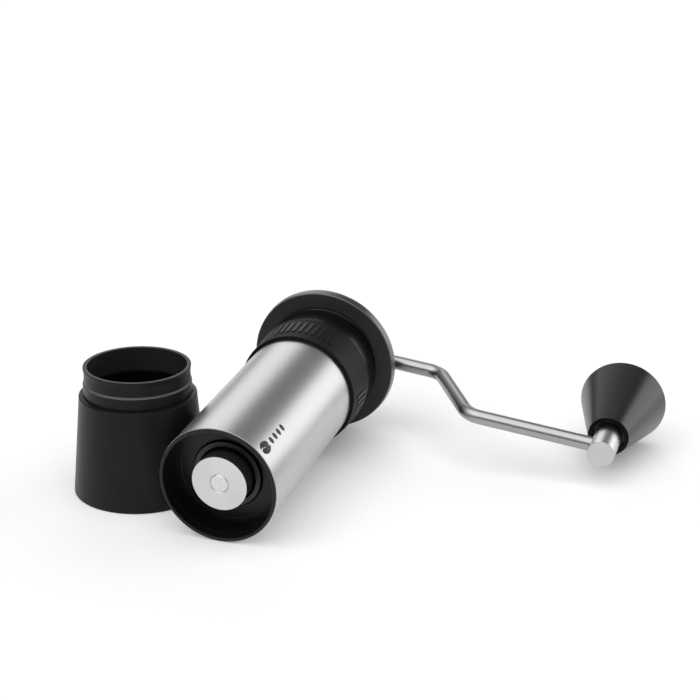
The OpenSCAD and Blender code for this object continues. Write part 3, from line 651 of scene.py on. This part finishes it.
# Thumb ring. A thick band of silicone rubber stretched over the tube, moulded with
# groups of low grip bars that are smoother than the band. Its upper lip is glossy.
thumb_rubber = soft_rubber("thumb_rubber", 0.004, 0.006, 0.56, gloss=0.16)
change_where(thumb_rubber, "Roughness", "height", 133.2, 133.8, 0.14)
over_tube_r, thumb_low, thumb_high, thumb_low_r, thumb_high_r = 30.05, 110.8, 134.7, 31.7, 32.4
bm = bmesh.new()
add_turned(
    bm,
    [(over_tube_r, thumb_low, 0.1), (thumb_low_r, thumb_low, 0.35),
     (thumb_high_r, thumb_high, 1.3), (over_tube_r, thumb_high, 0.2)],
    steps=240, corner_steps=8,
)
bar_count, bar_groups, bar_step, first_group = 10, 3, math.radians(6.4), math.radians(-87)
bar_half_w, bar_half_h, bar_out, bar_soft, bar_root, bar_points = 0.95, 6.1, 0.45, 0.2, 0.3, 24
thumb_mid = (thumb_low + thumb_high) / 2


def thumb_r(up):
    """The thumb ring's radius at a height above its middle."""
    lean = up * (thumb_high_r - thumb_low_r) / (thumb_high - thumb_low)
    return (thumb_low_r + thumb_high_r) / 2 + lean


def join_rings(bm, low, high):
    """The faces between two rings of as many points."""
    count = len(low)
    return [bm.faces.new((low[i], low[(i + 1) % count], high[(i + 1) % count], high[i]))
            for i in range(count)]


def grip_bar(bm, turn):
    """A round ended bar standing a little out of the thumb ring, with soft edges."""
    corners = []
    for a in (2 * math.pi * k / bar_points for k in range(bar_points)):
        end = math.copysign(bar_half_h - bar_half_w, math.sin(a) or 1.0)
        corners.append((bar_half_w * math.cos(a), bar_half_w * math.sin(a) + end))
    rings = []
    for inset, rise in ((0.0, -bar_root), (0.0, bar_out - bar_soft),
                        (bar_soft * 0.3, bar_out - bar_soft * 0.3), (bar_soft, bar_out)):
        shrink = 1 - inset / bar_half_w
        ring = []
        for x, y in corners:
            r = thumb_r(y) + rise
            height = thumb_mid + (y - math.copysign(inset, y))
            ring.append(spun_point(bm, r, turn + x * shrink / r, height))
        rings.append(ring)
    shown = [face for low, high in zip(rings, rings[1:]) for face in join_rings(bm, low, high)]
    shown.append(bm.faces.new(rings[-1]))
    for face in shown:
        face.material_index = 1
    bm.faces.new(rings[0][::-1])


for group in range(bar_groups):
    for k in range(bar_count):
        group_turn = first_group + math.radians(group * 120)
        grip_bar(bm, group_turn + (k - (bar_count - 1) / 2) * bar_step)
thumb_grip = place_piece(
    "thumb_grip", finish_mesh("thumb_grip", bm, 40.0), on_tube, "grinder", thumb_rubber,
    ["thumb_ring"],
)
thumb_grip.data.materials.append(soft_rubber("bar_rubber", 0.002, 0.004, 0.38, gloss=0.22))

# Rim and funnel. One black moulding: a smooth collar with a bead over the tube's top
# end, a glossy wide rim that keeps the grinder from rolling, left matte underneath, and
# a funnel that leads the beans into the tube.
rim_black = black_moulding("rim_black", 0.006, 0.009, 0.34, 0.44, gloss=0.85)
rim_shader = rim_black.node_tree.nodes["Principled BSDF"]
rim_shader.inputs["Coat Weight"].default_value = 0.8
rim_shader.inputs["Coat Roughness"].default_value = 0.3
underside_black = black_moulding("underside_black", 0.017, 0.023, 0.46, 0.56, gloss=0.3)
for socket_name, goal in (("Roughness", 0.26), ("Base Color", 0.002)):
    change_where(underside_black, socket_name, "out", 32.4, 31.6, goal)
collar_low, collar_r, bead_r, bead_high, collar_high = 134.9, 31.0, 31.35, 137.4, 151.1
rim_low_r, rim_low, rim_r, rim_widest, rim_high = 39.75, 152.4, 40.2, 156.5, 158.0
lid_seat_r, lid_seat_z, seat_in_r, funnel_r, funnel_z = 37.9, 155.5, 36.17, 29.7, 152.05
funnel_low_r, tube_end = 28.6, tube_top + 0.02
matte_in_r, matte_out_r = 30.9, 39.4


def face_with(piece, material, chosen):
    """A second material, on the faces whose points all have the chosen (radius, height)."""
    piece.data.materials.append(material)
    own_place = [spot.vector / MM for spot in piece.data.attributes["own_place"].data]
    for face in piece.data.polygons:
        spots = [own_place[i] for i in face.vertices]
        if all(chosen(spot.xy.length, spot.z) for spot in spots):
            face.material_index = 1


rim_and_funnel = turned(
    "rim_and_funnel",
    [(over_tube_r, collar_low, 0.1), (bead_r, collar_low, 0.4), (bead_r, bead_high, 0.5),
     (collar_r, bead_high + 0.5, 0.2), (collar_r, collar_high, 0.8), (rim_low_r, rim_low, 0.9),
     (rim_r, rim_widest, 0.3), (rim_r - 0.3, rim_high, 0.4), (lid_seat_r, rim_high, 0.3),
     (lid_seat_r, lid_seat_z, 0.1), (seat_in_r, lid_seat_z, 0.6), (funnel_r, funnel_z, 0.6),
     (funnel_low_r, tube_end, 0.2), (over_tube_r, tube_end, 0)],
    on_tube, "grinder", rim_black, ["funnel_rim"], steps=288,
)
face_with(
    rim_and_funnel, underside_black, lambda r, z: matte_in_r < r < matte_out_r and z < rim_low)

# Setting dial. A black knob under the crank, with finger notches around its edge and
# white numbers from 0 to 9, which screws along the axle to set the burrs.
dial_black = black_moulding("dial_black", 0.004, 0.006, 0.3, 0.42)
dial_low, dial_top, dial_r = 158.4, 164.6, 19.0
dial_bore_r, neck_r, neck_low, dish_r, dish_deep = 4.03, 6.5, 148.5, 10.2, 0.5
notch_count, notch_r, notch_centre, edge_from_r = 20, 1.6, 19.8, 16.0


def dial_notches(angle, r, z):
    """Round finger notches in the dial's edge."""
    if r < edge_from_r or z < dial_low - 0.1:
        return r, z
    pitch = 2 * math.pi / notch_count
    off = (angle + pitch / 2) % pitch - pitch / 2
    aside = notch_centre * math.sin(off)
    if abs(aside) >= notch_r:
        return r, z
    return min(r, notch_centre * math.cos(off) - math.sqrt(notch_r ** 2 - aside ** 2)), z


turned(
    "dial",
    [(dial_bore_r, neck_low, 0.1), (neck_r, neck_low, 0.2), (neck_r, dial_low, 0.3),
     (dial_r, dial_low, 0.3), (dial_r, dial_top, 0.7), (dish_r + 0.4, dial_top, 0.2),
     (dish_r, dial_top - dish_deep, 0.2), (dial_bore_r, dial_top - dish_deep, 0.1)],
    on_tube, "dial", dial_black, ["setting_dial"], steps=480, shape=dial_notches, sharp=30,
)
white_print, nodes, join, shader = new_material("dial_white")
join(ramp(nodes, join, noise_at(nodes, join, 4000.0), 0.68, 0.8), shader.inputs["Base Color"])
shader.inputs["Roughness"].default_value = 0.55
number_size, number_thick, number_out, number_from = 3.4, 0.04, 13.6, 9
for number in range(10):
    text = bpy.data.curves.new("dial_number_%d" % number, "FONT")
    text.body = str(number)
    text.size, text.extrude = number_size * MM, number_thick * MM
    text.align_x, text.align_y = "CENTER", "CENTER"
    holder = bpy.data.objects.new("dial_number_source", text)
    scene.collection.objects.link(holder)
    bpy.context.view_layer.update()
    mesh = bpy.data.meshes.new_from_object(holder)
    bpy.data.objects.remove(holder)
    mesh.name = "dial_number_%d" % number
    mesh.materials.clear()
    mesh.materials.append(white_print)
    mesh.transform(
        on_tube @ Matrix.Rotation(math.radians(36 * number + number_from), 4, "Z")
        @ Matrix.Translation((0, number_out * MM, (dial_top + slit) * MM))
    )
    digit = bpy.data.objects.new("dial_number_%d" % number, mesh)
    scene.collection.objects.link(digit)
    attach(digit, "dial")

# Lid. A black moulded ring that lies in the rim's seat around the dial, with a soft
# ring in its edge that keeps it from rattling.
lid_black = black_moulding("lid_black", 0.004, 0.006, 0.34, 0.46)
lid_bore_r, lid_r, lid_low, lid_high, web_high = 20.3, 37.0, 155.55, 157.75, 157.45
seal_groove_r, seal_low, seal_high, grip_r, grip_high = 36.6, 156.25, 157.05, 22.0, 159.95
turned(
    "lid_piece",
    [(lid_bore_r, lid_low, 0.2), (lid_r, lid_low, 0.2), (lid_r, seal_low, 0),
     (seal_groove_r, seal_low, 0), (seal_groove_r, seal_high, 0), (lid_r, seal_high, 0),
     (lid_r - 0.2, lid_high, 0.3), (34.6, lid_high, 0.2), (34.2, web_high, 0.2),
     (24.2, web_high, 0.5), (grip_r, 158.05, 0.4), (grip_r, grip_high, 0.4),
     (lid_bore_r, grip_high, 0.4)],
    on_tube, "lid", lid_black, ["lid"], steps=240,
)
finish_node("lid_seal", seal_rubber)

# Crank. The turned hub pushes onto the axle's hexagon. A round steel rod, bent twice,
# is pressed into it, and ends in a boss that carries the knob's pin.
knob_centre = Vector(joints["knob_spin"]["pos_m"])
out_to_knob = knob_centre - mouth_centre
out_to_knob -= axis * out_to_knob.dot(axis)
crank_r = out_to_knob.length / MM
on_crank = standing(mouth_centre, axis, out_to_knob)
on_knob = standing(mouth_centre + out_to_knob, axis, out_to_knob)
crank_steel = brushed_metal(
    "crank_steel", (0.50, 0.50, 0.495), (0.60, 0.60, 0.595), 0.27, 0.36, 4200.0, 2.0)
rod_steel = satin_steel("rod_steel", (0.35, 0.35, 0.345), (0.39, 0.39, 0.385), 0.27, 0.31)
hub_r, hub_low, hub_high, dimple_r, dimple_deep = 9.0, 166.95, 176.55, 2.6, 0.35
turned(
    "crank_hub_piece",
    [(0, hub_low, 0), (hub_r, hub_low, 0.6), (hub_r, hub_high, 0.9),
     (dimple_r + 0.6, hub_high, 0.2), (dimple_r, hub_high - dimple_deep, 0.2),
     (0, hub_high - dimple_deep, 0)],
    on_crank, "crank", crank_steel, ["crank_hub"], steps=144,
)
rod_r, bend_r, rod_start, rod_short, rod_high, rod_low = 3.85, 12.0, 4.99, 4.62, 171.0, 130.6
upper_bend, lower_bend, bend_steps, rod_points = 62.4, 89.2, 16, 64
rod_path = [
    (rod_start, rod_high), (upper_bend, rod_high), (lower_bend, rod_low),
    (crank_r - rod_short, rod_low),
]


def rod_line():
    """The rod's middle line as (distance out, height, slope) with round bends."""
    line = []
    for i, (far, high) in enumerate(rod_path):
        here = Vector((far, high))
        if i in (0, len(rod_path) - 1):
            other = Vector(rod_path[1] if i == 0 else rod_path[-2])
            way = (other - here) * (1 if i == 0 else -1)
            line.append((here, way.normalized()))
            continue
        come = (here - Vector(rod_path[i - 1])).normalized()
        go = (Vector(rod_path[i + 1]) - here).normalized()
        bend = come.angle(go)
        cut = bend_r * math.tan(bend / 2)
        side = Vector((-come.y, come.x)) * (1 if come.x * go.y - come.y * go.x > 0 else -1)
        centre = here - come * cut + side * bend_r
        for k in range(bend_steps + 1):
            a = bend * k / bend_steps
            line.append((
                centre - side * bend_r * math.cos(a) + come * bend_r * math.sin(a),
                come * math.cos(a) + side * math.sin(a)))
    return line


bm = bmesh.new()
rod_rings = []
for point, way in rod_line():
    across = Vector((-way.y, way.x))
    rod_rings.append([
        bm.verts.new((
            (point.x + across.x * rod_r * math.cos(a)) * MM, rod_r * math.sin(a) * MM,
            (point.y + across.y * rod_r * math.cos(a)) * MM))
        for a in (2 * math.pi * k / rod_points for k in range(rod_points))
    ])
for low, high in zip(rod_rings, rod_rings[1:]):
    join_rings(bm, low, high)
bm.faces.new(rod_rings[0])
bm.faces.new(rod_rings[-1][::-1])
place_piece(
    "crank_rod", finish_mesh("crank_rod", bm, 40.0), on_crank, "crank", rod_steel,
    ["crank_arm"],
)
boss_r, boss_low, boss_top, pin_bore_r, pin_bore_low = 7.08, 121.55, 146.85, 3.02, 124.1
turned(
    "rod_end_boss",
    [(0, boss_low, 0), (boss_r, boss_low, 0.35), (boss_r, boss_top, 0.35),
     (pin_bore_r, boss_top, 0), (pin_bore_r, pin_bore_low, 0), (0, pin_bore_low, 0)],
    on_knob, "crank", crank_steel, ["arm_boss"], steps=144,
)
finish_node("hub_screw", spring_steel)
finish_node("knob_pin", axle_steel)
finish_node("knob_washer", axle_steel)
finish_node("knob_clip", spring_steel)

# Knob. A tapered black moulding that turns on the pin in two plain bushes. Its small end
# is matte and hollow around the boss, and a cap covers the pin's end.
knob_black = black_moulding("knob_black", 0.001, 0.002, 0.27, 0.33, 3200.0, 0.00001, gloss=0.72)
knob_low, knob_top, knob_r, knob_small_r = 142.75, 188.85, 23.2, 10.75
recess_r, recess_top, bush_bore_r = 8.55, 148.45, 6.0
core_r, core_low, cap_seat_r, cap_seat_deep = 11.2, 178.45, 12.02, 2.22
# how far in and how far down the edge of the large end is, and its rounding
knob_edge = [(0.0, 1.9, 0.8), (0.15, 1.2, 0), (0.6, 0.5, 0), (1.3, 0.1, 0), (2.0, 0.0, 0)]
knob_body = turned(
    "knob_body",
    [(recess_r, knob_low, 0.35), (knob_small_r, knob_low, 0.45)]
    + [(knob_r - inward, knob_top - down, soft) for inward, down, soft in knob_edge]
    + [(cap_seat_r, knob_top, 0.2), (cap_seat_r, knob_top - cap_seat_deep, 0),
       (core_r, knob_top - cap_seat_deep, 0), (core_r, core_low, 0), (bush_bore_r, core_low, 0),
       (bush_bore_r, recess_top, 0), (recess_r, recess_top, 0)],
    on_knob, "knob", knob_black, ["knob_shell"], steps=240, corner_steps=10,
)
knob_end_black = black_moulding("knob_end_black", 0.001, 0.002, 0.4, 0.5, gloss=0.12)
face_with(knob_body, knob_end_black, lambda r, z: z < knob_low + 0.25)
cap_r, cap_low, cap_high, cap_dish_r, cap_dish = 12.0, 186.65, 188.65, 9.0, 188.35
turned(
    "knob_end_cap",
    [(0, cap_low, 0), (cap_r, cap_low, 0.1), (cap_r, cap_high, 0.4), (cap_dish_r, cap_dish, 0.5),
     (0, cap_dish, 0)],
    on_knob, "knob", knob_black, ["knob_cap"],
)
bush_grey = black_moulding("bush_grey", 0.06, 0.09, 0.3, 0.4)
finish_node("knob_lower_bush", bush_grey)
finish_node("knob_upper_bush", bush_grey)

# Catch cup. A black moulded cup that stands on its own, tapered from base to shoulder,
# with a stepped neck that pushes into the grinder's mouth. A grey band painted on the step's
# edge stands in for its highlight, and the inside is painted paler as a painted sheen.
cup_black = black_moulding("cup_black", 0.003, 0.005, 0.34, 0.44, gloss=0.22)
base_r, foot_in_r, base_dish, cup_floor_z, cup_h = 34.3, 31.7, 0.35, 2.4, 67.0
shoulder_r, shoulder_z, neck_groove, neck_foot_z = 29.78, 51.9, 0.1, 53.0
neck_out_r, ledge_z, waist_r, waist_top, brim_r, brim_in_r = 27.43, 58.8, 26.83, 64.5, 27.18, 25.03
# Painted highlight: a grey band along the step's edge, black again above it.
for start, end, grey in ((-0.5, -0.2, 0.09), (0.5, 0.8, 0.004)):
    change_where(cup_black, "Base Color", "height", ledge_z + start, ledge_z + end, grey)
# Painted sheen: the inside of the cup is painted paler, standing in for the light it reflects.
change_where(cup_black, "Base Color", "out", 26.2, 25.6, 0.022)
low_corner, high_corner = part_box("catch_cup")
on_cup = Matrix.Translation((
    (low_corner[0] + high_corner[0]) / 2, (low_corner[1] + high_corner[1]) / 2, 0))
turned(
    "cup",
    [(0, base_dish, 0), (foot_in_r - 0.5, base_dish, 0.2), (foot_in_r, 0, 0.2), (base_r, 0, 0.7),
     (shoulder_r, shoulder_z, 0.5), (neck_out_r + 0.3, shoulder_z + 0.6, 0.1),
     (neck_out_r - neck_groove, shoulder_z + 0.4, 0.05),
     (neck_out_r - neck_groove, neck_foot_z, 0.05), (neck_out_r, neck_foot_z + 0.15, 0.05),
     (neck_out_r, ledge_z - 0.3, 0.15), (waist_r, ledge_z + 0.4, 0.15), (waist_r, waist_top, 1.2),
     (brim_r, cup_h - 0.6, 0.3), (brim_r - 0.05, cup_h, 0.35), (brim_in_r, cup_h, 0.35),
     (brim_in_r, 54.5, 1.0), (27.4, 50.2, 1.5), (31.3, cup_floor_z + 2.0, 3.0),
     (29.3, cup_floor_z, 1.0), (0, cup_floor_z, 0)],
    on_cup, "cup", cup_black, ["catch_cup"], steps=240,
)
